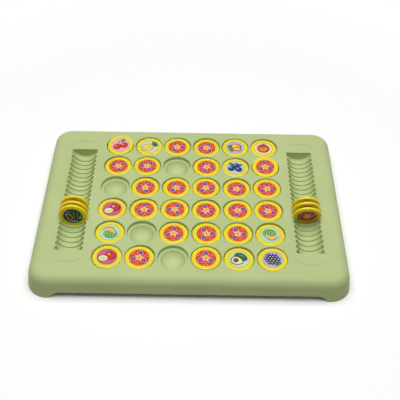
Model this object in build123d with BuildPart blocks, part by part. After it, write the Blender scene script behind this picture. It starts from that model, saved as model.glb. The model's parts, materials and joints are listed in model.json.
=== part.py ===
from build123d import *
import os
from math import asin, atan, cos, degrees, radians, sin, sqrt

# Pairs game with flip-over discs. A moulded tray has a grid of round pockets
# and a ribbed rack at each side. Each disc carries a printed label on both faces.
# Sizes are in millimetres and angles in degrees.
# The origin is at the bottom centre of the tray, +X right, +Y back and +Z up.

# Disc
disc_diameter = 19.0
disc_thickness = 2.0
disc_edge_round = 0.7
label_diameter = 13.2
label_gap = 0.2
label_recess = 0.3
label_thickness = 0.2

# Grid of pockets
grid_columns = 6
grid_rows = 6
pocket_clearance = 1.0
pocket_web = 1.3
pocket_edge_round = 0.4
disc_sink = 0.6
ledge_width = 1.75
bowl_depth = 4.6

# Disc racks
rack_slots = 22
slot_play = 0.8
rib_thickness = 1.58
rear_slot_room = 2.0
rack_play = 0.1
rack_disc_rise = 2.9
groove_depth = 0.8
rack_gap = 6.2
rim_line_width = 0.6
rim_line_height = 0.2
rim_side_gap = 2.3
rim_end_gap = 9.6
rim_corner_radius = 9.0

# Tray shell
tray_height = 16.5
tray_wall = 2.2
pocket_wall = 1.8
rack_wall = 1.8
corner_radius = 14.0
flank_draft = 9.0
tray_edge_round = 6.8
rack_border = 16.75
grid_border = 11.4
skirt_cut_height = 4.6
foot_length = 14.7
foot_ramp = 7.1
foot_shoulder = 2.5

# How the discs rest
pocket_drift = 0.7
propped_height = 0.1
propped_shift = 0.45
slot_drift = 0.35
lean_grip = 3.6
lean_pivot_drop = 5.5
lean_ride = 0.5
rest_gap = 0.05
left_front_slot = 7
left_lean_shares = (-0.16, 0.0, -0.16)
right_front_slot = 8
right_lean_shares = (1.0, 0.74, 0.6)
golden_angle = 137.5
empty_pockets = {(2, 3), (3, 1), (5, 2), (6, 3)}
propped_discs = {(1, 1): 60.0, (2, 6): 95.0}

# Sizes that follow from those above
disc_radius = disc_diameter / 2
pocket_radius = (disc_diameter + pocket_clearance) / 2
pocket_pitch = 2 * pocket_radius + pocket_web
pocket_depth = disc_thickness + disc_sink
bowl_rim_radius = pocket_radius - ledge_width
bowl_radius = (bowl_rim_radius**2 + bowl_depth**2) / (2 * bowl_depth)
grid_length = grid_columns * pocket_pitch - pocket_web
grid_width = grid_rows * pocket_pitch - pocket_web
slot_width = disc_thickness + slot_play
slot_pitch = slot_width + rib_thickness
trough_length = rack_slots * slot_pitch - rib_thickness + rear_slot_room
slot_radius = disc_radius + rack_play
channel_radius = slot_radius - groove_depth
slot_depth = slot_radius - rack_disc_rise
trough_width = 2 * sqrt(slot_radius**2 - rack_disc_rise**2)
full_lean = degrees(atan(slot_play / lean_grip))
tray_length = grid_length + 2 * (rack_gap + trough_width + rack_border)
tray_width = grid_width + 2 * grid_border
rack_x = grid_length / 2 + rack_gap + trough_width / 2
flank_wall = tray_wall / cos(radians(flank_draft))
cut_overshoot = 1.0

os.makedirs("parts", exist_ok=True)


def pocket_place(row, column):
    """Centre of a pocket, with row 1 at the back and column 1 at the left."""
    x = (column - (grid_columns + 1) / 2) * pocket_pitch
    y = ((grid_rows + 1) / 2 - row) * pocket_pitch
    return x, y


def slot_place(slot):
    """Middle of a rack slot along the trough, counted from the front."""
    return -trough_length / 2 + slot_width / 2 + (slot - 1) * slot_pitch


# The empty space of one pocket: a round well, a ledge and a dished floor
with BuildPart() as pocket_space:
    with BuildSketch(Plane.XZ):
        with BuildLine():
            ledge_edge = (bowl_rim_radius, -pocket_depth)
            well_foot = (pocket_radius, -pocket_depth)
            well_top = (pocket_radius, -pocket_edge_round)
            rim = (pocket_radius + pocket_edge_round, 0)
            dish = RadiusArc((0, -pocket_depth - bowl_depth), ledge_edge, -bowl_radius)
            Polyline(ledge_edge, well_foot, well_top)
            RadiusArc(well_top, rim, pocket_edge_round)
            Polyline(rim, (rim[0], cut_overshoot), (0, cut_overshoot), dish @ 0)
        make_face()
    revolve(axis=Axis.Z)

# The outside of one pocket as it shows under the tray
with BuildPart() as pocket_shell:
    with BuildSketch(Plane.XZ):
        with BuildLine():
            shell_radius = bowl_radius + pocket_wall
            shell_floor = -pocket_depth - pocket_wall
            bowl_centre = bowl_radius - pocket_depth - bowl_depth
            neck = sqrt(shell_radius**2 - (bowl_centre - shell_floor) ** 2)
            outer_dish = RadiusArc((0, bowl_centre - shell_radius), (neck, shell_floor), -shell_radius)
            outer = pocket_radius + pocket_wall
            Polyline(outer_dish @ 1, (outer, shell_floor), (outer, 0), (0, 0), outer_dish @ 0)
        make_face()
    revolve(axis=Axis.Z)

# The empty space of one rack: a round-bottomed channel with a deeper groove for each disc
with BuildPart() as rack_space:
    with Locations((0, 0, rack_disc_rise)):
        Cylinder(channel_radius, trough_length, rotation=(90, 0, 0))
    with Locations(*[(0, slot_place(slot), rack_disc_rise) for slot in range(1, rack_slots)]):
        Cylinder(slot_radius, slot_width, rotation=(90, 0, 0))
    rear_slot_width = slot_width + rear_slot_room
    with Locations((0, (trough_length - rear_slot_width) / 2, rack_disc_rise)):
        Cylinder(slot_radius, rear_slot_width, rotation=(90, 0, 0))

# The outside of one rack as it shows under the tray
with BuildPart() as rack_shell:
    with Locations((0, 0, rack_disc_rise)):
        Cylinder(slot_radius + rack_wall, trough_length + 2 * rack_wall, rotation=(90, 0, 0))

# The open space under the tray, around the pockets and the racks
with BuildPart() as underside:
    with BuildSketch():
        RectangleRounded(tray_length - 2 * flank_wall, tray_width - 2 * flank_wall, corner_radius - flank_wall)
    extrude(amount=tray_height - tray_wall, taper=flank_draft)
    fillet(underside.faces().sort_by(Axis.Z)[-1].edges(), tray_edge_round - tray_wall)
    with Locations((0, 0, tray_height)):
        with GridLocations(pocket_pitch, pocket_pitch, grid_columns, grid_rows):
            add(pocket_shell.part, mode=Mode.SUBTRACT)
        with Locations((-rack_x, 0, 0), (rack_x, 0, 0)):
            add(rack_shell.part, mode=Mode.SUBTRACT)

# The stretch of skirt that is cut short between the corner feet, at the front and the back
with BuildPart() as skirt_cut:
    with BuildSketch(Plane.XZ.offset(-tray_width)):
        with BuildLine():
            foot_end = tray_length / 2 - foot_length
            cut_end = foot_end - foot_ramp
            shoulder = cut_end + foot_shoulder
            right_ramp = Bezier((foot_end, 0), (shoulder, skirt_cut_height), (cut_end, skirt_cut_height))
            left_ramp = Bezier((-cut_end, skirt_cut_height), (-shoulder, skirt_cut_height), (-foot_end, 0))
            Line(right_ramp @ 1, left_ramp @ 0)
            Polyline(left_ramp @ 1, (-foot_end, -cut_overshoot), (foot_end, -cut_overshoot), right_ramp @ 0)
        make_face()
    extrude(amount=2 * tray_width)

# The tray, one moulding
with BuildPart() as tray:
    with BuildSketch():
        RectangleRounded(tray_length, tray_width, corner_radius)
    extrude(amount=tray_height, taper=flank_draft)
    fillet(tray.faces().sort_by(Axis.Z)[-1].edges(), tray_edge_round)
    add(underside.part, mode=Mode.SUBTRACT)
    add(skirt_cut.part, mode=Mode.SUBTRACT)
    # A fine raised line runs round each rack
    with BuildSketch(Plane.XY.offset(tray_height - tray_wall / 2)):
        with Locations((-rack_x, 0), (rack_x, 0)):
            rim_width = trough_width + 2 * rim_side_gap
            rim_length = trough_length + 2 * rim_end_gap
            RectangleRounded(rim_width, rim_length, rim_corner_radius)
            RectangleRounded(
                rim_width - 2 * rim_line_width,
                rim_length - 2 * rim_line_width,
                rim_corner_radius - rim_line_width,
                mode=Mode.SUBTRACT,
            )
    extrude(amount=tray_wall / 2 + rim_line_height)
    with Locations((0, 0, tray_height)):
        with GridLocations(pocket_pitch, pocket_pitch, grid_columns, grid_rows):
            add(pocket_space.part, mode=Mode.SUBTRACT)
        with Locations((-rack_x, 0, 0), (rack_x, 0, 0)):
            add(rack_space.part, mode=Mode.SUBTRACT)
tray.part.label = "tray"
export_step(tray.part, "parts/tray.step")


def make_disc(name, seat):
    """Make one disc with its two labels and write it. The seat is the plane through its middle."""
    label_lift = disc_thickness / 2 - label_recess
    with BuildPart(seat) as body:
        Cylinder(disc_radius, disc_thickness)
        fillet(body.edges(), disc_edge_round)
        with Locations((0, 0, disc_thickness / 2), (0, 0, -disc_thickness / 2)):
            Cylinder(label_diameter / 2 + label_gap, 2 * label_recess, mode=Mode.SUBTRACT)
    with BuildPart(seat.offset(label_lift)) as front_label:
        Cylinder(label_diameter / 2, label_thickness, align=(Align.CENTER, Align.CENTER, Align.MIN))
    with BuildPart(seat.offset(-label_lift)) as back_label:
        Cylinder(label_diameter / 2, label_thickness, align=(Align.CENTER, Align.CENTER, Align.MAX))
    body.part.label = "disc_body"
    front_label.part.label = "front_label"
    back_label.part.label = "back_label"
    disc = Compound(label=name, children=[body.part, front_label.part, back_label.part])
    export_step(disc, f"parts/{name}.step")


def flat_seat(row, column):
    """A disc lying on its pocket's ledge, drifted to one side within the clearance."""
    x, y = pocket_place(row, column)
    heading = radians(golden_angle * (row * grid_columns + column))
    shift = pocket_drift * pocket_clearance / 2
    middle = tray_height - pocket_depth + disc_thickness / 2
    return Plane((x + shift * cos(heading), y + shift * sin(heading), middle))


def propped_seat(row, column, heading):
    """A disc with one edge on the ledge and the other up at the pocket's rim, at this heading."""
    x, y = pocket_place(row, column)
    outward = Vector(cos(radians(heading)), sin(radians(heading)), 0)
    rise = pocket_depth - disc_edge_round + propped_height
    flat_radius = disc_radius - disc_edge_round
    tilt = asin(rise / (2 * flat_radius))
    drop = flat_radius * sin(tilt) + (disc_thickness / 2 - disc_edge_round) * cos(tilt)
    middle = tray_height - pocket_depth + disc_edge_round + drop
    centre = Vector(x, y, middle) + outward * (propped_shift * pocket_clearance)
    climb = outward * cos(tilt) + Vector(0, 0, sin(tilt))
    return Plane(centre, x_dir=climb, z_dir=outward * -sin(tilt) + Vector(0, 0, cos(tilt)))


def rack_seat(side, slot, lean_share):
    """A disc standing in a rack slot, its top leaning to the front by a share of the full lean."""
    lean = radians(lean_share * full_lean)
    up = Vector(0, -sin(lean), cos(lean))
    facing = Vector(0, -cos(lean), -sin(lean))
    drift = slot_drift * slot_play * (1 - abs(lean_share))
    pivot_height = tray_height + rack_disc_rise - lean_pivot_drop - rack_play + rest_gap
    pivot = Vector(side * rack_x, slot_place(slot) - drift, pivot_height + lean_ride * lean_share**2)
    return Plane(pivot + up * lean_pivot_drop, x_dir=up.cross(facing), z_dir=facing)


for row in range(1, grid_rows + 1):
    for column in range(1, grid_columns + 1):
        if (row, column) in propped_discs:
            make_disc(f"disc_row{row}_column{column}", propped_seat(row, column, propped_discs[row, column]))
        elif (row, column) not in empty_pockets:
            make_disc(f"disc_row{row}_column{column}", flat_seat(row, column))

for place, lean_share in enumerate(left_lean_shares):
    make_disc(f"disc_left_rack_{place + 1}", rack_seat(-1, left_front_slot + place, lean_share))
for place, lean_share in enumerate(right_lean_shares):
    make_disc(f"disc_right_rack_{place + 1}", rack_seat(1, right_front_slot + place, lean_share))
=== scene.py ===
"""Looks of a flip-disc pairs game: a moulded tray, thirty-eight discs and their printed labels.

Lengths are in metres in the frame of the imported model, and MM turns a size in millimetres to metres.
"""

import json
import logging
import math
import random
from collections.abc import Callable
from dataclasses import dataclass, field
from enum import Enum

import bmesh
import bpy
import numpy as np
from mathutils import Matrix, Vector

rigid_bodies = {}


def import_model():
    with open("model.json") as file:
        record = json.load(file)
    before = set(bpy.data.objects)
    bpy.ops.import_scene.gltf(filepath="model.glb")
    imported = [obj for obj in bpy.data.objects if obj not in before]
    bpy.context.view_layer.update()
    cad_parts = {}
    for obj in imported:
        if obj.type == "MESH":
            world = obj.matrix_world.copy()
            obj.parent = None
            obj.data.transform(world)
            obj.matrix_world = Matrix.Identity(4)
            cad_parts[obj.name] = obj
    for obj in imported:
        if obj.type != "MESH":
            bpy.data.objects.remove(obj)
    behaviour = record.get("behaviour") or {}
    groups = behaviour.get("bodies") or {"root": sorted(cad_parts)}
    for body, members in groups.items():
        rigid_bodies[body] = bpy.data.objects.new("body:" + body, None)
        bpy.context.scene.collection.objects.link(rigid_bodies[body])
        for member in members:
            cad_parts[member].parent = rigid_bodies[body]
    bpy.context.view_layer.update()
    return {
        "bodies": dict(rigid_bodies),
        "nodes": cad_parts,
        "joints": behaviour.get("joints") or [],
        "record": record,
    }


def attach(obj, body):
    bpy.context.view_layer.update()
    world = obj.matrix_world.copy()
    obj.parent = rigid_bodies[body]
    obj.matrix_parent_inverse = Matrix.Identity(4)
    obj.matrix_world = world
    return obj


LOG = logging.getLogger("pairs_game")
MM = 0.001
PHOTO_WIDTH = 400
SRGB_KNEE = 0.04045
SRGB_FOOT_SLOPE = 12.92
SRGB_OFFSET = 0.055
SRGB_GAMMA = 2.4
WHITE_LIGHT = (1.0, 1.0, 1.0, 1.0)


def linear(code: str) -> tuple[float, float, float, float]:
    """Turn an sRGB hex code into a linear colour.

    Args:
        code: six hex digits after a hash sign.

    Returns:
        The linear red, green and blue, and full alpha.
    """
    shares = [int(code[start:start + 2], 16) / 255 for start in (1, 3, 5)]
    red, green, blue = (share / SRGB_FOOT_SLOPE if share <= SRGB_KNEE
                        else ((share + SRGB_OFFSET) / (1 + SRGB_OFFSET)) ** SRGB_GAMMA for share in shares)
    return red, green, blue, 1.0


def add_node(tree: bpy.types.NodeTree, kind: str, settings: dict | None = None, **links) -> bpy.types.Node:
    """Add one shader node with its settings and links.

    Args:
        tree: the tree that the node joins.
        kind: the node's type, without the ShaderNode in front.
        settings: values by the name or number of an input or, failing that, by the name of a property.
        links: output sockets by the name of the input that they feed, with _ for a space.

    Returns:
        The new node.
    """
    node = tree.nodes.new(f"ShaderNode{kind}")
    for name, value in (settings or {}).items():
        if isinstance(name, int) or name in node.inputs:
            node.inputs[name].default_value = value
        else:
            setattr(node, name, value)
    for name, output in links.items():
        tree.links.new(output, node.inputs[name.replace("_", " ")])
    return node


def new_material(name: str) -> tuple[bpy.types.Material, bpy.types.NodeTree]:
    """Make an empty node material.

    Args:
        name: the finish's name.

    Returns:
        The material and its cleared tree.
    """
    material = bpy.data.materials.new(name)
    material.use_nodes = True
    material.node_tree.nodes.clear()
    return material, material.node_tree


@dataclass(frozen=True)
class MouldedPlastic:
    """Injection-moulded plastic: one tone with a slow drift from the melt's flow and a fine mould grain."""

    name: str
    tone: str
    drift_tone: str
    drift_size: float
    roughness: float
    roughness_spread: float
    grain_size: float
    grain_depth: float
    ripple_size: float
    ripple_depth: float
    ior: float
    gloss_level: float
    scatter_weight: float
    scatter_depth: float
    scatter_reach: tuple[float, float, float] = (1.0, 0.8, 0.25)

    def build(self) -> bpy.types.Material:
        """Return the material, with its patterns on object coordinates."""
        material, tree = new_material(self.name)
        place = add_node(tree, "TexCoord").outputs["Object"]
        drift = add_node(tree, "TexNoise", {"Scale": 1 / self.drift_size, "Detail": 3.0}, Vector=place)
        spread = add_node(tree, "MapRange", {"From Min": 0.35, "From Max": 0.65}, Value=drift.outputs["Fac"])
        tone = add_node(tree, "MixRGB", {"Color1": linear(self.tone), "Color2": linear(self.drift_tone)},
                        Fac=spread.outputs["Result"])
        grain = add_node(tree, "TexNoise", {"Scale": 1 / self.grain_size, "Detail": 2.0, "Roughness": 0.6},
                         Vector=place)
        ripple = add_node(tree, "TexNoise", {"Scale": 1 / self.ripple_size, "Detail": 1.0}, Vector=place)
        low, high = self.roughness - self.roughness_spread, self.roughness + self.roughness_spread
        matt = add_node(tree, "MapRange", {"To Min": low, "To Max": high}, Value=grain.outputs["Fac"])
        waves = add_node(tree, "Bump", {"Strength": 1.0, "Distance": self.ripple_depth},
                         Height=ripple.outputs["Fac"])
        pits = add_node(tree, "Bump", {"Strength": 1.0, "Distance": self.grain_depth},
                        Height=grain.outputs["Fac"], Normal=waves.outputs["Normal"])
        shader = add_node(tree, "BsdfPrincipled", {"IOR": self.ior, "Specular IOR Level": self.gloss_level,
                                                   "Subsurface Weight": self.scatter_weight,
                                                   "Subsurface Radius": self.scatter_reach,
                                                   "Subsurface Scale": self.scatter_depth},
                          Base_Color=tone.outputs["Color"], Roughness=matt.outputs["Result"],
                          Normal=pits.outputs["Normal"])
        add_node(tree, "OutputMaterial", Surface=shader.outputs["BSDF"])
        return material


# Taken to be polypropylene from a spark-eroded mould: a soft satin skin that spreads each highlight.
# Such a grain is about 0.1 mm across. It is drawn at 0.5 mm, so that it shows. The gloss is set below
# that of bare plastic, to keep the shaded green from turning grey.
TRAY_PLASTIC = MouldedPlastic(
    name="moulded_polypropylene_sage",
    tone="#BBC98E",
    drift_tone="#B6C488",
    drift_size=45 * MM,
    roughness=0.5,
    roughness_spread=0.07,
    grain_size=0.5 * MM,
    grain_depth=0.008 * MM,
    ripple_size=30 * MM,
    ripple_depth=0.03 * MM,
    ior=1.49,
    gloss_level=0.2,
    scatter_weight=0.0,
    scatter_depth=1.0 * MM,
)

# Taken to be polystyrene from a polished mould: a saturated yellow that lets light through its edges,
# with a faint highlight along each rounded edge.
DISC_PLASTIC = MouldedPlastic(
    name="moulded_polystyrene_yellow",
    tone="#F3DF1A",
    drift_tone="#F4D81C",
    drift_size=6 * MM,
    roughness=0.26,
    roughness_spread=0.05,
    grain_size=0.6 * MM,
    grain_depth=0.004 * MM,
    ripple_size=5 * MM,
    ripple_depth=0.02 * MM,
    ior=1.57,
    gloss_level=0.3,
    scatter_weight=0.6,
    scatter_depth=3.0 * MM,
)


class Ink(Enum):
    """Printing inks of the labels, as sRGB codes."""

    RED_FIELD = "#DB3818"
    PALE_PINK = "#F2B4AE"
    VIOLET = "#3E3078"
    LILAC = "#8577B4"
    STAR_YELLOW = "#F3C64E"
    PINK = "#EFA9B6"
    ROSE = "#C75F7C"
    CREAM = "#F4E3BC"
    PALE_ORANGE = "#F5D6A2"
    PALE_BLUE = "#BACFDC"
    PALE_CYAN = "#B4D8CC"
    MIST_GREEN = "#C6D8BC"
    LAVENDER = "#B9B0DC"
    LINE_GREEN = "#12321F"
    LINE_BROWN = "#4A2312"
    LINE_PLUM = "#1E1437"
    DARK_RED = "#86141A"
    RED = "#D22A1C"
    LIGHT_RED = "#EF6F50"
    DARK_GREEN = "#165339"
    GREEN = "#4C9A45"
    LIGHT_GREEN = "#A9D067"
    STONE = "#7E3A1E"
    ORANGE = "#E66A22"
    LIGHT_ORANGE = "#F3A443"
    PEACH = "#F6BC83"
    YELLOW = "#F0BE2E"
    LEMON = "#F6E05E"
    GOLD = "#B9761A"
    BLUE = "#24377E"
    DARK_BLUE = "#0F1740"
    LIGHT_BLUE = "#7693CF"
    PLUM = "#3A2562"
    WHITE = "#FBFAF5"


@dataclass(frozen=True)
class PrintedLabel:
    """Offset ink on coated paper under a clear film: a clean colour with a faint mottle and a faint sheen."""

    mottle_size: float = 0.45 * MM
    mottle_share: float = 0.03
    roughness: float = 0.5
    gloss_level: float = 0.15
    film_weight: float = 0.07
    film_roughness: float = 0.2
    film_wave_size: float = 4.0 * MM
    film_wave_depth: float = 0.02 * MM

    def build(self, ink: Ink) -> bpy.types.Material:
        """Return the material of one ink.

        Args:
            ink: the ink's colour.
        """
        material, tree = new_material(f"printed_label_{ink.name.lower()}")
        place = add_node(tree, "TexCoord").outputs["Object"]
        mottle = add_node(tree, "TexNoise", {"Scale": 1 / self.mottle_size, "Detail": 2.0}, Vector=place)
        colour = linear(ink.value)
        thin = [c + (1 - c) * self.mottle_share for c in colour[:3]]
        tone = add_node(tree, "MixRGB", {"Color1": colour, "Color2": (*thin, 1.0)}, Fac=mottle.outputs["Fac"])
        waves = add_node(tree, "TexNoise", {"Scale": 1 / self.film_wave_size, "Detail": 1.0}, Vector=place)
        film = add_node(tree, "Bump", {"Strength": 1.0, "Distance": self.film_wave_depth},
                        Height=waves.outputs["Fac"])
        shader = add_node(tree, "BsdfPrincipled", {"Roughness": self.roughness,
                                                   "Specular IOR Level": self.gloss_level,
                                                   "Coat Weight": self.film_weight,
                                                   "Coat Roughness": self.film_roughness},
                          Base_Color=tone.outputs["Color"], Normal=film.outputs["Normal"])
        add_node(tree, "OutputMaterial", Surface=shader.outputs["BSDF"])
        return material


class InkShop:
    """Keeps one material for each ink that a label uses."""

    def __init__(self, finish: PrintedLabel) -> None:
        """Start with no ink mixed."""
        self.finish = finish
        self.mixed: dict[Ink, bpy.types.Material] = {}

    def material(self, ink: Ink) -> bpy.types.Material:
        """Return the ink's material, made on its first use."""
        if ink not in self.mixed:
            self.mixed[ink] = self.finish.build(ink)
        return self.mixed[ink]


@dataclass(frozen=True)
class Patch:
    """One flat patch of ink, drawn from a unit circle that is pointed, tapered, bent, turned and placed."""

    ink: Ink
    x: float
    y: float
    length: float
    width: float
    turn: float = 0.0
    point: float = 0.0
    taper: float = 0.0
    bend: float = 0.0
    lobes: int = 0
    lobe_depth: float = 0.0
    steps: int = 28

    def place(self, u: float, v: float) -> tuple[float, float]:
        """Move a point of the unit circle to its place on the label.

        Args:
            u: the point's share of the half length.
            v: the point's share of the half width.

        Returns:
            The point's x and y on the label in millimetres.
        """
        swell = 1.0
        if self.lobes:
            swell += self.lobe_depth * math.cos(self.lobes * math.atan2(v, u))
        across = v * abs(v) ** self.point * (1 - self.taper * u) * swell * self.width / 2
        along = u * swell * self.length / 2
        across += self.bend * (u * u - 0.5) * self.length / 2
        turn = math.radians(self.turn)
        x = self.x + along * math.cos(turn) - across * math.sin(turn)
        y = self.y + along * math.sin(turn) + across * math.cos(turn)
        return x, y


class Drawing:
    """The print of one round label, as patches of ink laid one over another."""

    def __init__(self, paper: Ink) -> None:
        """Start with the paper's own colour."""
        self.paper = paper
        self.line_width = 0.42
        self.patches: list[Patch] = []

    def patch(self, ink: Ink, x: float, y: float, length: float, width: float, **shape) -> None:
        """Lay one patch over the others.

        Args:
            ink: its colour.
            x: its middle to the right, in millimetres.
            y: its middle upwards, in millimetres.
            length: its size along its own axis, in millimetres.
            width: its size across, in millimetres.
            shape: the further shape of the patch.
        """
        self.patches.append(Patch(ink, x, y, length, width, **shape))

    def outlined(self, line: Ink, fill: Ink, x: float, y: float, length: float, width: float,
                 **shape) -> None:
        """Lay a patch with a dark line round it.

        Args:
            line: the line's colour.
            fill: the patch's colour.
            x: its middle to the right, in millimetres.
            y: its middle upwards, in millimetres.
            length: its size along its own axis with the line, in millimetres.
            width: its size across with the line, in millimetres.
            shape: the further shape of the patch.
        """
        self.patch(line, x, y, length, width, **shape)
        self.patch(fill, x, y, length - 2 * self.line_width, width - 2 * self.line_width, **shape)

    def leaf(self, x: float, y: float, length: float, turn: float, bend: float = 0.2) -> None:
        """Draw a pointed leaf with its mid-rib, from its middle at x and y."""
        self.patch(Ink.LINE_GREEN, x, y, length, 0.62 * length, turn=turn, point=0.7, bend=bend)
        self.patch(Ink.GREEN, x, y, 0.8 * length, 0.38 * length, turn=turn, point=0.7, bend=bend)
        self.patch(Ink.DARK_GREEN, x, y, 0.7 * length, 0.1 * length, turn=turn, point=0.4, bend=bend)

    def stem(self, x: float, y: float, length: float, turn: float, bend: float = 0.0) -> None:
        """Draw a thin stalk with its middle at x and y."""
        self.patch(Ink.LINE_BROWN, x, y, length, 0.5, turn=turn, bend=bend, taper=0.3)

    def ball(self, x: float, y: float, size: float, rim: Ink, body: Ink, shine: Ink, **shape) -> None:
        """Draw a round fruit with a dark rim, a soft light side and a small highlight."""
        tall = shape.pop("tall", 1.0)
        self.patch(rim, x, y, size, size * tall, **shape)
        self.patch(body, x - 0.02 * size, y + 0.03 * size, 0.8 * size, 0.8 * size * tall, **shape)
        self.patch(shine, x - 0.15 * size, y + 0.16 * size * tall, 0.3 * size, 0.22 * size, turn=30,
                   point=0.2)
        self.patch(Ink.WHITE, x - 0.19 * size, y + 0.21 * size * tall, 0.15 * size, 0.11 * size, turn=30)

    def cut_round(self, x: float, y: float, size: float, rind: Ink, pith: Ink, flesh: Ink,
                  wedges: int) -> None:
        """Draw a round fruit cut across, with its wedges round the middle."""
        self.outlined(Ink.LINE_GREEN, rind, x, y, size, size)
        self.patch(pith, x, y, 0.8 * size, 0.8 * size)
        for step in range(wedges):
            turn = 360 * step / wedges
            reach = 0.21 * size
            wedge_x = x + reach * math.cos(math.radians(turn))
            wedge_y = y + reach * math.sin(math.radians(turn))
            self.patch(flesh, wedge_x, wedge_y, 0.34 * size, 1.7 * size / wedges, turn=turn, taper=-0.75,
                       steps=14)


def draw_pattern() -> Drawing:
    """Draw the red reverse of every disc: a star in the middle, three clovers round it and dots between."""
    drawing = Drawing(Ink.RED_FIELD)
    star = {"turn": 12.0, "lobes": 5, "lobe_depth": 0.3, "steps": 50}
    drawing.patch(Ink.PALE_PINK, 0.0, 0.0, 4.6, 4.6, **star)
    drawing.patch(Ink.STAR_YELLOW, 0.0, 0.0, 3.7, 3.7, **star)
    drawing.patch(Ink.RED_FIELD, 0.0, 0.0, 1.2, 1.2, **star)
    for turn in (90, 210, 330):
        x = 3.9 * math.cos(math.radians(turn))
        y = 3.9 * math.sin(math.radians(turn))
        clover = {"turn": turn, "lobes": 3, "lobe_depth": 0.25, "steps": 42}
        drawing.patch(Ink.PALE_PINK, x, y, 3.7, 3.7, **clover)
        drawing.patch(Ink.VIOLET, x, y, 3.0, 3.0, **clover)
        drawing.patch(Ink.LILAC, x, y, 1.2, 1.2, **clover)
    for turn in (30, 150, 270):
        for reach, side in ((4.0, 0), (5.5, -9), (5.5, 9)):
            x = reach * math.cos(math.radians(turn + side))
            y = reach * math.sin(math.radians(turn + side))
            drawing.patch(Ink.PALE_PINK, x, y, 0.7, 0.7, steps=12)
    return drawing


def draw_cherries() -> Drawing:
    """Draw two cherries on one forked stalk."""
    drawing = Drawing(Ink.PINK)
    drawing.stem(-1.4, 2.2, 5.0, 66, 0.12)
    drawing.stem(1.5, 2.4, 4.6, 112, -0.12)
    drawing.leaf(2.2, 4.3, 3.6, 8)
    drawing.ball(-2.6, -1.3, 5.6, Ink.DARK_RED, Ink.RED, Ink.LIGHT_RED)
    drawing.ball(2.6, -0.7, 5.6, Ink.DARK_RED, Ink.RED, Ink.LIGHT_RED)
    return drawing


def draw_pineapple() -> Drawing:
    """Draw a pineapple lying aslant, with a hatched skin and a tuft."""
    drawing = Drawing(Ink.MIST_GREEN)
    for turn in (-20, 10, 40, 70, 100):
        x = 2.6 + 1.6 * math.cos(math.radians(turn))
        y = 2.3 + 1.6 * math.sin(math.radians(turn))
        drawing.leaf(x, y, 4.2, turn, 0.1)
    drawing.outlined(Ink.LINE_BROWN, Ink.LEMON, -1.2, -1.3, 9.2, 7.2, turn=38)
    for side in (-1, 1):
        for step in range(-2, 3):
            shift = 1.35 * step
            x = -1.2 + shift * math.cos(math.radians(38))
            y = -1.3 + shift * math.sin(math.radians(38))
            drawing.patch(Ink.GOLD, x, y, 5.8 - 0.6 * abs(step), 0.22, turn=38 + side * 52, steps=12)
    drawing.patch(Ink.LEMON, -2.3, 0.0, 2.4, 1.5, turn=38)
    return drawing


def draw_mango() -> Drawing:
    """Draw a mango with a cut cheek before it and a leaf."""
    drawing = Drawing(Ink.LAVENDER)
    drawing.leaf(-3.8, 1.2, 4.6, 250)
    drawing.leaf(-3.0, -2.4, 4.2, 300)
    mango = {"tall": 0.82, "turn": -14, "taper": 0.15}
    drawing.ball(0.8, 1.0, 7.8, Ink.LINE_BROWN, Ink.LIGHT_ORANGE, Ink.LEMON, **mango)
    drawing.outlined(Ink.LINE_BROWN, Ink.ORANGE, 1.1, -1.9, 7.4, 4.2, turn=-10, point=0.1)
    drawing.patch(Ink.YELLOW, 1.1, -1.6, 5.8, 2.5, turn=-10, point=0.1)
    drawing.patch(Ink.LEMON, 1.5, -1.6, 3.2, 1.1, turn=-10, point=0.3)
    return drawing


def draw_orange() -> Drawing:
    """Draw an orange with a lifted curl of peel."""
    drawing = Drawing(Ink.PALE_ORANGE)
    drawing.ball(0.0, 0.0, 9.2, Ink.DARK_RED, Ink.ORANGE, Ink.LIGHT_ORANGE)
    drawing.patch(Ink.RED, 0.0, 2.3, 6.4, 2.6, bend=-0.25)
    for turn in (200, 235, 270, 305, 340):
        x = 2.2 * math.cos(math.radians(turn))
        y = 2.2 * math.sin(math.radians(turn))
        drawing.patch(Ink.DARK_RED, x, y, 3.4, 1.6, turn=turn, point=0.4)
        drawing.patch(Ink.LIGHT_ORANGE, x, y, 2.8, 1.1, turn=turn, point=0.4)
    drawing.leaf(1.4, 4.4, 3.2, 20)
    return drawing


def draw_blueberries() -> Drawing:
    """Draw three blueberries with their crowns."""
    drawing = Drawing(Ink.PALE_BLUE)
    drawing.leaf(-3.6, 2.8, 4.4, 150)
    drawing.leaf(3.2, 3.3, 3.8, 40)
    for x, y in ((0.3, 2.2), (-2.6, -1.5), (2.7, -1.3)):
        drawing.ball(x, y, 5.3, Ink.DARK_BLUE, Ink.BLUE, Ink.LIGHT_BLUE)
        drawing.patch(Ink.DARK_BLUE, x + 0.6, y - 0.6, 1.9, 1.9, lobes=5, lobe_depth=0.3, steps=30)
    return drawing


def draw_apples() -> Drawing:
    """Draw a cut apple before a whole red one."""
    drawing = Drawing(Ink.ROSE)
    drawing.stem(2.3, 4.6, 1.9, 75)
    drawing.leaf(0.9, 4.4, 2.8, 160)
    drawing.ball(2.1, 0.9, 7.0, Ink.DARK_RED, Ink.RED, Ink.LIGHT_RED, lobes=2, lobe_depth=0.05)
    half = {"lobes": 2, "lobe_depth": 0.07}
    drawing.outlined(Ink.LINE_BROWN, Ink.CREAM, -2.3, -1.4, 6.4, 5.8, **half)
    drawing.patch(Ink.LIGHT_GREEN, -2.3, -1.4, 3.4, 3.4, lobes=2, lobe_depth=0.2)
    drawing.patch(Ink.CREAM, -2.3, -1.4, 2.6, 2.6, lobes=2, lobe_depth=0.2)
    for side in (-1, 1):
        drawing.patch(Ink.LINE_BROWN, -2.3 + 0.55 * side, -1.5, 1.1, 0.5, turn=90, point=0.4, steps=12)
    return drawing


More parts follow.
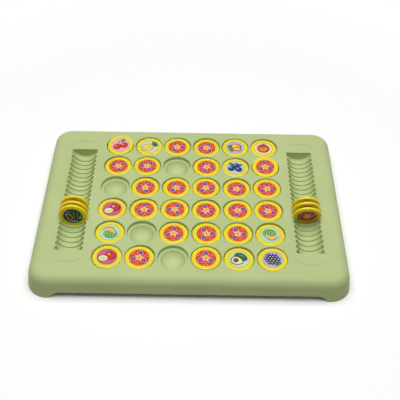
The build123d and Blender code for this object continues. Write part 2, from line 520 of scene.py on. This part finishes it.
def draw_melon() -> Drawing:
    """Draw a green melon with a cut crescent before it."""
    drawing = Drawing(Ink.PALE_CYAN)
    drawing.patch(Ink.LINE_GREEN, -0.6, 1.2, 9.2, 7.4)
    drawing.patch(Ink.GREEN, -0.6, 1.2, 8.6, 6.8)
    for step in (-2, -1, 0, 1, 2):
        drawing.patch(Ink.LIGHT_GREEN, -0.6 + 1.7 * step, 1.2, 6.2 - 0.7 * abs(step), 0.55, turn=90,
                      bend=0.14 * step, steps=16)
    crescent = {"turn": -6, "bend": 0.42, "point": 0.2}
    drawing.patch(Ink.LINE_GREEN, 0.7, -1.7, 9.6, 4.3, **crescent)
    drawing.patch(Ink.LIGHT_GREEN, 0.7, -1.6, 9.0, 3.6, **crescent)
    drawing.patch(Ink.PEACH, 0.7, -1.3, 8.4, 2.8, **crescent)
    drawing.patch(Ink.LIGHT_ORANGE, 0.7, -0.9, 6.4, 1.2, **crescent)
    return drawing


def draw_avocado() -> Drawing:
    """Draw a cut avocado with its stone before a whole one."""
    drawing = Drawing(Ink.MIST_GREEN)
    drawing.outlined(Ink.LINE_GREEN, Ink.DARK_GREEN, 1.4, 1.8, 9.2, 6.4, turn=-28, taper=0.15)
    drawing.patch(Ink.GREEN, 1.9, 3.1, 5.2, 1.1, turn=-32, point=0.3)
    half = {"turn": -22, "taper": 0.2}
    drawing.patch(Ink.LINE_GREEN, -1.2, -1.2, 8.6, 7.0, **half)
    drawing.patch(Ink.LIGHT_GREEN, -1.2, -1.2, 7.6, 6.0, **half)
    drawing.patch(Ink.CREAM, -1.2, -1.15, 6.6, 5.0, **half)
    drawing.patch(Ink.LINE_BROWN, -1.9, -0.8, 3.6, 3.6)
    drawing.patch(Ink.STONE, -1.9, -0.75, 2.8, 2.8)
    drawing.patch(Ink.PEACH, -2.4, -0.1, 0.7, 0.5, turn=30)
    return drawing


def draw_grapes() -> Drawing:
    """Draw a bunch of dark grapes with a leaf at its foot."""
    drawing = Drawing(Ink.LAVENDER)
    drawing.stem(-4.2, 3.6, 2.4, 140)
    for row, count in enumerate((3, 4, 5, 4, 3)):
        for place in range(count):
            along = 1.9 * row - 4.2
            across = 1.95 * (place - (count - 1) / 2)
            turn = math.radians(-32)
            x = along * math.cos(turn) - across * math.sin(turn)
            y = along * math.sin(turn) + across * math.cos(turn)
            drawing.patch(Ink.LINE_PLUM, x, y, 2.5, 2.5, steps=18)
            drawing.patch(Ink.PLUM, x, y + 0.05, 1.9, 1.9, steps=18)
            drawing.patch(Ink.WHITE, x - 0.3, y + 0.4, 0.85, 0.65, steps=10)
    drawing.leaf(3.9, -3.0, 3.6, 20)
    drawing.leaf(2.4, -4.2, 3.0, 320)
    return drawing


def draw_watermelon() -> Drawing:
    """Draw a large striped watermelon behind a red slice."""
    drawing = Drawing(Ink.DARK_GREEN)
    drawing.patch(Ink.LINE_GREEN, 0.8, 0.8, 11.6, 10.6)
    for step in (-2, -1, 0, 1, 2):
        drawing.patch(Ink.GREEN, 0.8 + 2.2 * step, 0.8, 8.4 - 0.9 * abs(step), 0.7, turn=90, bend=0.14 * step,
                      lobes=7, lobe_depth=0.08)
    # The pale blue streak at the upper left is a painted reflection of light on the label, laid as ink.
    drawing.patch(Ink.LIGHT_BLUE, -3.0, 3.9, 3.4, 0.7, turn=38, point=0.3)
    slice_shape = {"turn": -70, "bend": -0.32, "point": 0.1}
    drawing.patch(Ink.LINE_GREEN, -2.7, -0.9, 7.6, 4.0, **slice_shape)
    drawing.patch(Ink.CREAM, -2.65, -0.9, 7.0, 3.4, **slice_shape)
    drawing.patch(Ink.DARK_RED, -2.6, -0.9, 6.4, 2.8, **slice_shape)
    drawing.patch(Ink.LAVENDER, 0.9, -4.6, 4.6, 1.3, turn=4, point=0.2)
    drawing.patch(Ink.PALE_CYAN, 4.6, -1.4, 2.6, 0.9, turn=66, point=0.3)
    for step in range(4):
        drawing.patch(Ink.LINE_PLUM, -3.5 + 0.25 * step, 1.2 - 1.3 * step, 0.6, 0.35, turn=70, steps=10)
    return drawing


def draw_strawberry() -> Drawing:
    """Draw a strawberry with seeds and its green cap."""
    drawing = Drawing(Ink.CREAM)
    drawing.ball(0.0, -0.8, 9.2, Ink.DARK_RED, Ink.RED, Ink.LIGHT_RED, turn=-90, taper=0.32, tall=0.9)
    for row, count in enumerate((4, 5, 4, 3, 2)):
        for place in range(count):
            x = 1.5 * (place - (count - 1) / 2)
            drawing.patch(Ink.LEMON, x, 1.8 - 1.4 * row, 0.6, 0.35, turn=90, steps=10)
    for turn in (15, 55, 90, 125, 165):
        x = 1.8 * math.cos(math.radians(turn))
        drawing.leaf(x, 3.2 + 0.7 * math.sin(math.radians(turn)), 3.2, turn)
    return drawing


def draw_bananas() -> Drawing:
    """Draw two bananas from one stalk."""
    drawing = Drawing(Ink.PALE_BLUE)
    for y, turn in ((1.6, 20), (-1.4, 4)):
        banana = {"turn": turn, "bend": 0.34, "point": 0.25}
        drawing.patch(Ink.LINE_BROWN, 0.0, y, 10.8, 3.8, **banana)
        drawing.patch(Ink.YELLOW, 0.0, y + 0.05, 10.2, 3.2, **banana)
        drawing.patch(Ink.LEMON, 0.0, y + 0.55, 8.4, 1.1, **banana)
    drawing.patch(Ink.LINE_BROWN, 4.6, 2.9, 1.8, 1.3, turn=70)
    return drawing


def draw_lemon() -> Drawing:
    """Draw a lemon and a cut half."""
    drawing = Drawing(Ink.MIST_GREEN)
    drawing.leaf(-3.4, 3.6, 3.6, 140)
    drawing.ball(-1.3, 1.2, 8.4, Ink.GOLD, Ink.YELLOW, Ink.LEMON, tall=0.74, turn=24, point=0.15)
    drawing.cut_round(2.0, -1.8, 6.0, Ink.YELLOW, Ink.CREAM, Ink.LEMON, 8)
    return drawing


def draw_pear() -> Drawing:
    """Draw a green pear with a leaf."""
    drawing = Drawing(Ink.PINK)
    drawing.stem(0.3, 4.7, 2.0, 80)
    drawing.leaf(2.2, 4.3, 3.4, 20)
    drawing.ball(0.0, 1.7, 5.0, Ink.LINE_GREEN, Ink.LIGHT_GREEN, Ink.LEMON)
    drawing.ball(0.0, -1.5, 7.6, Ink.LINE_GREEN, Ink.LIGHT_GREEN, Ink.LEMON)
    drawing.patch(Ink.LIGHT_GREEN, 0.0, 0.9, 4.3, 3.6)
    return drawing


def draw_kiwi() -> Drawing:
    """Draw a brown kiwi fruit and a green cut half with seeds."""
    drawing = Drawing(Ink.CREAM)
    drawing.ball(-1.7, 1.6, 7.4, Ink.LINE_BROWN, Ink.GOLD, Ink.PEACH, tall=0.8, turn=20)
    drawing.patch(Ink.LINE_BROWN, 1.3, -1.3, 7.6, 7.1)
    drawing.patch(Ink.GREEN, 1.3, -1.3, 6.9, 6.4)
    drawing.patch(Ink.LIGHT_GREEN, 1.3, -1.3, 4.2, 3.8, lobes=9, lobe_depth=0.08, steps=54)
    drawing.patch(Ink.CREAM, 1.3, -1.3, 1.9, 1.6)
    for step in range(12):
        turn = 30 * step
        x = 1.3 + 1.75 * math.cos(math.radians(turn))
        y = -1.3 + 1.6 * math.sin(math.radians(turn))
        drawing.patch(Ink.LINE_PLUM, x, y, 0.7, 0.35, turn=turn, steps=10)
    return drawing


def draw_plums() -> Drawing:
    """Draw two plums with their seams."""
    drawing = Drawing(Ink.MIST_GREEN)
    drawing.leaf(0.3, 4.3, 4.0, 15)
    for x, y, turn in ((-2.1, 0.8, 80), (2.2, -1.3, 110)):
        drawing.ball(x, y, 6.4, Ink.LINE_PLUM, Ink.PLUM, Ink.LILAC, tall=0.9, turn=turn)
        drawing.patch(Ink.LINE_PLUM, x + 0.7, y, 5.2, 0.3, turn=turn, bend=0.15)
    return drawing


def draw_peach() -> Drawing:
    """Draw a peach with its seam and a leaf."""
    drawing = Drawing(Ink.PALE_CYAN)
    drawing.ball(0.0, -0.5, 9.2, Ink.DARK_RED, Ink.PEACH, Ink.CREAM)
    drawing.patch(Ink.LIGHT_RED, 2.1, -0.7, 6.6, 2.8, turn=90, bend=-0.2, point=0.3)
    drawing.patch(Ink.ORANGE, 1.0, 0.0, 7.2, 0.35, turn=90, bend=-0.2)
    drawing.leaf(2.3, 4.2, 4.2, 20)
    drawing.stem(0.3, 4.4, 1.6, 100)
    return drawing


def draw_lime() -> Drawing:
    """Draw two cut limes."""
    drawing = Drawing(Ink.PINK)
    drawing.leaf(3.4, 3.6, 3.6, 40)
    drawing.cut_round(-1.8, 1.6, 6.8, Ink.GREEN, Ink.CREAM, Ink.LIGHT_GREEN, 8)
    drawing.cut_round(1.9, -2.0, 6.2, Ink.GREEN, Ink.CREAM, Ink.LIGHT_GREEN, 8)
    return drawing


def draw_raspberry() -> Drawing:
    """Draw a raspberry with its drupelets."""
    drawing = Drawing(Ink.PALE_BLUE)
    for row, count in enumerate((3, 4, 5, 4, 3, 2)):
        for place in range(count):
            x = 1.75 * (place - (count - 1) / 2)
            y = 2.3 - 1.4 * row
            drawing.patch(Ink.DARK_RED, x, y, 2.2, 2.2, steps=16)
            drawing.patch(Ink.ROSE, x, y + 0.05, 1.6, 1.6, steps=16)
            drawing.patch(Ink.PALE_PINK, x - 0.2, y + 0.3, 0.6, 0.5, steps=10)
    for turn in (15, 55, 125, 165):
        drawing.leaf(1.7 * math.cos(math.radians(turn)), 3.8, 3.2, turn)
    return drawing


class Fruit(Enum):
    """The pictures of the game, each printed on two discs."""

    CHERRIES = "cherries"
    PINEAPPLE = "pineapple"
    MANGO = "mango"
    ORANGE = "orange"
    BLUEBERRIES = "blueberries"
    APPLES = "apples"
    MELON = "melon"
    AVOCADO = "avocado"
    GRAPES = "grapes"
    WATERMELON = "watermelon"
    STRAWBERRY = "strawberry"
    BANANAS = "bananas"
    LEMON = "lemon"
    PEAR = "pear"
    KIWI = "kiwi"
    PLUMS = "plums"
    PEACH = "peach"
    LIME = "lime"
    RASPBERRY = "raspberry"


DRAWINGS: dict[Fruit, Callable[[], Drawing]] = {
    Fruit.CHERRIES: draw_cherries,
    Fruit.PINEAPPLE: draw_pineapple,
    Fruit.MANGO: draw_mango,
    Fruit.ORANGE: draw_orange,
    Fruit.BLUEBERRIES: draw_blueberries,
    Fruit.APPLES: draw_apples,
    Fruit.MELON: draw_melon,
    Fruit.AVOCADO: draw_avocado,
    Fruit.GRAPES: draw_grapes,
    Fruit.WATERMELON: draw_watermelon,
    Fruit.STRAWBERRY: draw_strawberry,
    Fruit.BANANAS: draw_bananas,
    Fruit.LEMON: draw_lemon,
    Fruit.PEAR: draw_pear,
    Fruit.KIWI: draw_kiwi,
    Fruit.PLUMS: draw_plums,
    Fruit.PEACH: draw_peach,
    Fruit.LIME: draw_lime,
    Fruit.RASPBERRY: draw_raspberry,
}


@dataclass(frozen=True)
class Seat:
    """Where one disc lies: its middle, the way its upper or front face points and its own right and up."""

    middle: Vector
    face: Vector
    right: Vector
    up: Vector

    @classmethod
    def of_node(cls, node: bpy.types.Object, standing: bool) -> "Seat":
        """Find a disc's seat from its solid.

        Args:
            node: the disc's object.
            standing: whether the disc stands in a rack and faces the front.

        Returns:
            The seat.
        """
        points = np.empty(len(node.data.vertices) * 3)
        node.data.vertices.foreach_get("co", points)
        points = points.reshape(-1, 3)
        axes = np.linalg.eigh(np.cov(points.T))[1]
        spans = points @ axes
        middle = axes @ ((spans.min(0) + spans.max(0)) / 2)
        face = Vector(axes[:, 0])
        if (face.y > 0) if standing else (face.z < 0):
            face = -face
        right = Vector((1, 0, 0))
        up = face.cross(right).normalized()
        return cls(Vector(middle), face, up.cross(face), up)

    def matrix(self, turn: float, reverse: bool) -> Matrix:
        """Return the placing of a label drawn about its own middle.

        Args:
            turn: how far the label is turned about the disc's axis, in degrees.
            reverse: whether it lies on the disc's other face.
        """
        side = Matrix.Rotation(math.pi if reverse else 0.0, 4, "Y")
        frame = Matrix((self.right, self.up, self.face)).transposed().to_4x4()
        return Matrix.Translation(self.middle) @ frame @ side @ Matrix.Rotation(math.radians(turn), 4, "Z")


@dataclass
class LabelPress:
    """Makes the printed labels: a round of coated paper with a soft edge and its inks on top."""

    radius: float = 6.5 * MM
    floor_height: float = 0.9 * MM
    paper_thickness: float = 0.04 * MM
    paper_edge: float = 0.015 * MM
    ink_room: float = 0.045 * MM
    bleed: float = 0.1
    paper_steps: int = 72
    shop: InkShop = field(default_factory=lambda: InkShop(PrintedLabel()))

    def print_mesh(self, name: str, drawing: Drawing) -> tuple[bpy.types.Mesh, list[Ink]]:
        """Print one drawing flat about the origin.

        Args:
            name: the drawing's name.
            drawing: the patches of ink.

        Returns:
            The label's mesh and the inks that its material numbers stand for.
        """
        inks = [drawing.paper]
        bm = bmesh.new()
        paper = bmesh.ops.create_cone(bm, cap_ends=True, segments=self.paper_steps, radius1=self.radius,
                                      radius2=self.radius, depth=self.paper_thickness)
        middle = self.floor_height + self.paper_thickness / 2
        bmesh.ops.translate(bm, verts=paper["verts"], vec=(0, 0, middle))
        top = self.floor_height + self.paper_thickness
        rim = [edge for edge in bm.edges if all(abs(v.co.z - top) < 1e-9 for v in edge.verts)]
        bmesh.ops.bevel(bm, geom=rim, offset=self.paper_edge, offset_type="OFFSET", segments=1,
                        profile=0.5, affect="EDGES", material=-1)
        for layer, patch in enumerate(drawing.patches, 1):
            if patch.ink not in inks:
                inks.append(patch.ink)
            height = top + self.ink_room * layer / len(drawing.patches)
            self.lay(bm, patch, top, height, inks.index(patch.ink))
        mesh = bpy.data.meshes.new(name)
        bm.to_mesh(mesh)
        bm.free()
        return mesh, inks

    def lay(self, bm: bmesh.types.BMesh, patch: Patch, low: float, high: float, number: int) -> None:
        """Lay one patch of ink on the label.

        Args:
            bm: the label's mesh.
            patch: the patch.
            low: the height of its foot.
            high: the height of its face.
            number: its material number.
        """
        made = bmesh.ops.create_cone(bm, cap_ends=True, segments=patch.steps, radius1=1.0, radius2=1.0,
                                     depth=2.0)
        limit = self.radius - self.bleed * MM
        for vert in made["verts"]:
            x, y = patch.place(vert.co.x, vert.co.y)
            reach = math.hypot(x, y) * MM
            inside = min(1.0, limit / reach) if reach else 1.0
            vert.co = Vector((x * MM * inside, y * MM * inside, high if vert.co.z > 0 else low))
        for face in {face for vert in made["verts"] for face in vert.link_faces}:
            face.material_index = number


@dataclass
class DiscSet:
    """The thirty-eight discs: yellow plastic, a fruit on one face and the red pattern on the other."""

    nodes: dict[str, bpy.types.Object]
    press: LabelPress = field(default_factory=LabelPress)
    shuffle_seed: int = 11
    face_up: dict[str, tuple[Fruit, float]] = field(default_factory=lambda: {
        "row1_column1": (Fruit.CHERRIES, 8.0),
        "row1_column2": (Fruit.PINEAPPLE, -6.0),
        "row1_column5": (Fruit.MANGO, 5.0),
        "row1_column6": (Fruit.ORANGE, 15.0),
        "row2_column5": (Fruit.BLUEBERRIES, -10.0),
        "row4_column1": (Fruit.APPLES, 6.0),
        "row5_column1": (Fruit.MELON, 170.0),
        "row5_column6": (Fruit.MELON, 0.0),
        "row6_column1": (Fruit.APPLES, -4.0),
        "row6_column5": (Fruit.AVOCADO, 0.0),
        "row6_column6": (Fruit.GRAPES, 0.0),
        "left_rack_1": (Fruit.WATERMELON, 0.0),
    })

    def build(self) -> list[bpy.types.Object]:
        """Dress every disc and set its two labels.

        Returns:
            The label pieces.
        """
        plastic = DISC_PLASTIC.build()
        chance = random.Random(self.shuffle_seed)
        deck = [fruit for fruit in Fruit for _ in range(2)]
        for fruit, _ in self.face_up.values():
            deck.remove(fruit)
        chance.shuffle(deck)
        pattern = self.press.print_mesh("pattern", draw_pattern())
        pictures = {fruit: self.press.print_mesh(fruit.value, DRAWINGS[fruit]()) for fruit in Fruit}
        made = []
        for name in sorted(n for n in self.nodes if n.startswith("disc_")):
            place = name.removeprefix("disc_")
            node = self.nodes[name]
            node.data.materials.clear()
            node.data.materials.append(plastic)
            seat = Seat.of_node(node, standing="rack" in name)
            shows_picture = place in self.face_up
            if shows_picture:
                fruit, picture_turn = self.face_up[place]
            else:
                fruit, picture_turn = deck.pop(), chance.uniform(0, 360)
            sides = [(pictures[fruit], seat.matrix(picture_turn, not shows_picture)),
                     (pattern, seat.matrix(chance.uniform(0, 360), shows_picture))]
            made.append(self.set_labels(f"labels_{place}", name, sides))
        for mesh, _ in (pattern, *pictures.values()):
            bpy.data.meshes.remove(mesh)
        return made

    def set_labels(self, name: str, body: str, sides: list) -> bpy.types.Object:
        """Make one disc's pair of labels.

        Args:
            name: the piece's name.
            body: the body that it rides on.
            sides: each label's mesh with its inks, and its placing.

        Returns:
            The piece.
        """
        bm = bmesh.new()
        inks: list[Ink] = []
        for (mesh, own_inks), placing in sides:
            old = set(bm.faces)
            bm.from_mesh(mesh)
            fresh = [face for face in bm.faces if face not in old]
            bmesh.ops.transform(bm, matrix=placing, verts=list({v for face in fresh for v in face.verts}))
            for face in fresh:
                ink = own_inks[face.material_index]
                if ink not in inks:
                    inks.append(ink)
                face.material_index = inks.index(ink)
        final = bpy.data.meshes.new(name)
        bm.to_mesh(final)
        bm.free()
        for ink in inks:
            final.materials.append(self.press.shop.material(ink))
        piece = bpy.data.objects.new(name, final)
        bpy.context.scene.collection.objects.link(piece)
        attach(piece, body)
        return piece


@dataclass
class Tray:
    """The one-piece moulded tray with its pockets and racks."""

    node: bpy.types.Object

    def dress(self) -> None:
        """Give the tray its satin plastic."""
        self.node.data.materials.clear()
        self.node.data.materials.append(TRAY_PLASTIC.build())


@dataclass
class Studio:
    """A plain pale floor that turns into a white backdrop, one soft light overhead, and the camera."""

    floor_half: float = 1.6
    floor_cells: int = 8
    floor_tone: str = "#FFFFFF"
    floor_bounce_tone: str = "#CFCFCD"
    floor_glow: float = 0.04
    backdrop_starts: float = 0.12
    backdrop_full: float = 0.3
    key_size: float = 1.0
    key_place: tuple[float, float, float] = (0.0, 0.0, 1.0)
    key_power: float = 12.2
    ambient: float = 0.03
    camera_elevation: float = 45.986
    camera_azimuth: float = -0.369
    camera_roll: float = 1.182
    camera_target: tuple[float, float, float] = (6.35 * MM, -1.79 * MM, 16.5 * MM)
    camera_distance: float = 506.4 * MM
    focal_pixels: float = 733.08
    sensor_width: float = 36.0
    clip_start: float = 10 * MM

    def build(self) -> None:
        """Make the floor, the light and the camera."""
        self.lay_floor()
        self.light_world()
        self.hang_light()
        self.set_camera()
        bpy.context.scene.view_settings.view_transform = "Standard"

    def lay_floor(self) -> None:
        """Lay the floor, which is white to the camera, keeps the tray's shadow and fades to a plain white."""
        bm = bmesh.new()
        bmesh.ops.create_grid(bm, x_segments=self.floor_cells, y_segments=self.floor_cells,
                              size=self.floor_half)
        mesh = bpy.data.meshes.new("floor")
        bm.to_mesh(mesh)
        bm.free()
        # Matt white studio paint round the tray. Away from it, an even white stands for a lit backdrop.
        # Rays that carry light to the tray meet a darker tone, so that its flanks stay in shade.
        material, tree = new_material("painted_studio_floor")
        shown = self.shown_rays(tree)
        tones = {"Color1": linear(self.floor_bounce_tone), "Color2": linear(self.floor_tone)}
        tone = add_node(tree, "MixRGB", tones, Fac=shown)
        glow = add_node(tree, "Math", {"operation": "MULTIPLY", 1: self.floor_glow})
        tree.links.new(shown, glow.inputs[0])
        paint = add_node(tree, "BsdfDiffuse", Color=tone.outputs["Color"])
        lift = add_node(tree, "Emission", Strength=glow.outputs[0])
        both = add_node(tree, "AddShader")
        tree.links.new(paint.outputs[0], both.inputs[0])
        tree.links.new(lift.outputs[0], both.inputs[1])
        coordinates = add_node(tree, "TexCoord")
        reach = add_node(tree, "VectorMath", {"operation": "LENGTH"}, Vector=coordinates.outputs["Object"])
        far = add_node(tree, "MapRange", {"From Min": self.backdrop_starts, "From Max": self.backdrop_full},
                       Value=reach.outputs["Value"])
        share = add_node(tree, "Math", {"operation": "MULTIPLY"})
        tree.links.new(far.outputs["Result"], share.inputs[0])
        tree.links.new(shown, share.inputs[1])
        backdrop = add_node(tree, "Emission", {"Color": WHITE_LIGHT})
        ground = add_node(tree, "MixShader", Fac=share.outputs[0])
        tree.links.new(both.outputs[0], ground.inputs[1])
        tree.links.new(backdrop.outputs[0], ground.inputs[2])
        add_node(tree, "OutputMaterial", Surface=ground.outputs[0])
        mesh.materials.append(material)
        floor = bpy.data.objects.new("floor", mesh)
        bpy.context.scene.collection.objects.link(floor)

    def shown_rays(self, tree: bpy.types.NodeTree) -> bpy.types.NodeSocket:
        """Return 1 for the rays that show the ground to the camera, to gloss or through glass, and else 0.

        Args:
            tree: the tree of the floor or the world.
        """
        path = add_node(tree, "LightPath")
        total = path.outputs["Is Camera Ray"]
        for name in ("Is Glossy Ray", "Is Transmission Ray"):
            either = add_node(tree, "Math", {"operation": "MAXIMUM"})
            tree.links.new(total, either.inputs[0])
            tree.links.new(path.outputs[name], either.inputs[1])
            total = either.outputs[0]
        return total

    def light_world(self) -> None:
        """Give a dim even light all round, and a white ground to the camera and to reflections."""
        world = bpy.data.worlds.new("studio")
        world.use_nodes = True
        tree = world.node_tree
        tree.nodes.clear()
        strength = add_node(tree, "MapRange", {"To Min": self.ambient, "To Max": 1.0},
                            Value=self.shown_rays(tree))
        background = add_node(tree, "Background", {"Color": WHITE_LIGHT}, Strength=strength.outputs["Result"])
        add_node(tree, "OutputWorld", Surface=background.outputs[0])
        bpy.context.scene.world = world

    def hang_light(self) -> None:
        """Hang the square soft light, pointed at the tray."""
        lamp = bpy.data.lights.new("key_light", "AREA")
        lamp.shape = "SQUARE"
        lamp.size = self.key_size
        lamp.energy = self.key_power
        light = bpy.data.objects.new("key_light", lamp)
        light.location = self.key_place
        light.rotation_mode = "QUATERNION"
        light.rotation_quaternion = Vector(self.key_place).to_track_quat("Z", "Y")
        bpy.context.scene.collection.objects.link(light)

    def set_camera(self) -> None:
        """Set the camera at the photograph's viewing angle."""
        azimuth = math.radians(self.camera_azimuth)
        elevation = math.radians(self.camera_elevation)
        roll = math.radians(self.camera_roll)
        back = Vector((math.sin(azimuth) * math.cos(elevation), -math.cos(azimuth) * math.cos(elevation),
                       math.sin(elevation)))
        right = Vector((0, 0, 1)).cross(back).normalized()
        up = back.cross(right)
        tilted_right = right * math.cos(roll) + up * math.sin(roll)
        tilted_up = up * math.cos(roll) - right * math.sin(roll)
        data = bpy.data.cameras.new("camera")
        data.sensor_width = self.sensor_width
        data.lens = self.focal_pixels / PHOTO_WIDTH * self.sensor_width
        data.clip_start = self.clip_start
        camera = bpy.data.objects.new("camera", data)
        turned = Matrix((tilted_right, tilted_up, back)).transposed().to_4x4()
        place = Vector(self.camera_target) + back * self.camera_distance
        camera.matrix_world = Matrix.Translation(place) @ turned
        bpy.context.scene.collection.objects.link(camera)
        bpy.context.scene.camera = camera


def main() -> None:
    """Build the looks in order and report each piece."""
    logging.basicConfig(level=logging.INFO, format="%(name)s: %(message)s")
    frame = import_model()
    Studio().build()
    Tray(frame["nodes"]["tray"]).dress()
    LOG.info("tray dressed")
    for piece in DiscSet(frame["nodes"]).build():
        LOG.info("%s has %d faces", piece.name, len(piece.data.polygons))


if __name__ == "__main__":
    main()
